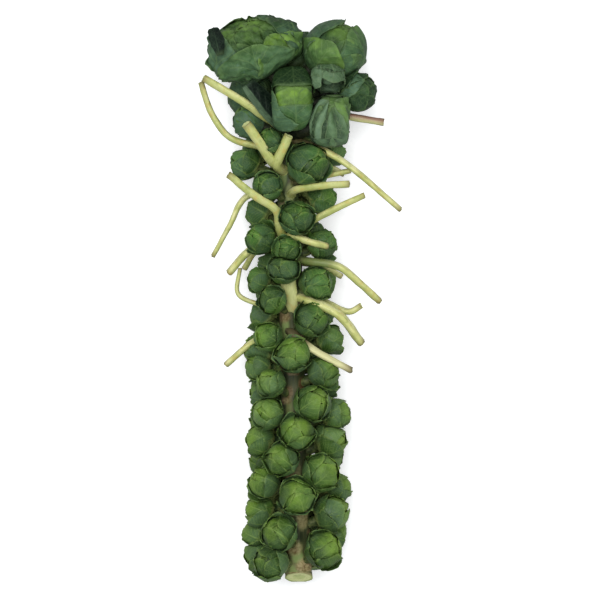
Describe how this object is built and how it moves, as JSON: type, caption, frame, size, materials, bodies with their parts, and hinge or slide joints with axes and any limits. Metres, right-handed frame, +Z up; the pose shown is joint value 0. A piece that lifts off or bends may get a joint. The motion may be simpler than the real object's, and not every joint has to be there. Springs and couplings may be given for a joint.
{
  "type": "brussels sprout stalk",
  "caption": "Cut stalk of Brussels sprouts lying down: a stem covered in round leafy buds, with cut leaf stalks and a crown of looser leafy heads.",
  "frame": {"origin": "centre of the footprint, on the surface that the stalk lies on", "axes": "+Y along the stalk from its cut end to its crown, +Z up from the surface, +X to the right seen from above"},
  "size_m": [0.1949, 0.5419, 0.1008],
  "materials": {
    "sprout_leaves": "waxy matt green leaf with paler veins",
    "crown_leaves": "waxy blue-green leaf, puckered between paler veins",
    "stem_flesh": "pale yellow-green fibrous stem and cut leaf stalks"
  },
  "bodies": {
    "root": {"stem_and_leaf_stalks": "stem_flesh", "crown_torn_leaf": "crown_leaves", "crown_terminal_head": "crown_leaves", "crown_round_head": "crown_leaves", "crown_front_head": "crown_leaves", "crown_side_head": "crown_leaves", "crown_leafy_head": "crown_leaves", "crown_small_fold": "crown_leaves", "crown_left_head": "crown_leaves", "crown_under_middle": "crown_leaves", "crown_under_left": "crown_leaves", "crown_under_right": "crown_leaves", "sprouts_01": "sprout_leaves", "sprouts_02": "sprout_leaves", "sprouts_03": "sprout_leaves", "sprouts_04": "sprout_leaves", "sprouts_05": "sprout_leaves", "sprouts_06": "sprout_leaves", "sprouts_07": "sprout_leaves", "sprouts_08": "sprout_leaves", "sprouts_09": "sprout_leaves", "sprouts_10": "sprout_leaves", "sprouts_11": "sprout_leaves", "sprouts_12": "sprout_leaves", "sprouts_13": "sprout_leaves", "sprouts_14": "sprout_leaves", "sprouts_15": "sprout_leaves", "sprouts_16": "sprout_leaves", "sprouts_17": "sprout_leaves", "sprouts_18": "sprout_leaves", "sprouts_19": "sprout_leaves", "sprouts_20": "sprout_leaves", "sprouts_21": "sprout_leaves", "sprouts_22": "sprout_leaves", "sprouts_23": "sprout_leaves", "sprouts_24": "sprout_leaves", "sprouts_25": "sprout_leaves", "sprouts_26": "sprout_leaves", "sprouts_27": "sprout_leaves", "sprouts_28": "sprout_leaves", "sprouts_29": "sprout_leaves", "sprouts_30": "sprout_leaves", "sprouts_31": "sprout_leaves", "sprouts_32": "sprout_leaves", "sprouts_33": "sprout_leaves", "sprouts_34": "sprout_leaves", "sprouts_35": "sprout_leaves", "sprouts_36": "sprout_leaves", "sprouts_37": "sprout_leaves", "sprouts_38": "sprout_leaves", "sprouts_39": "sprout_leaves", "sprouts_40": "sprout_leaves", "sprouts_41": "sprout_leaves", "sprouts_42": "sprout_leaves", "sprouts_43": "sprout_leaves", "sprouts_44": "sprout_leaves", "sprouts_45": "sprout_leaves", "sprouts_46": "sprout_leaves", "sprouts_47": "sprout_leaves"}
  },
  "joints": []
}
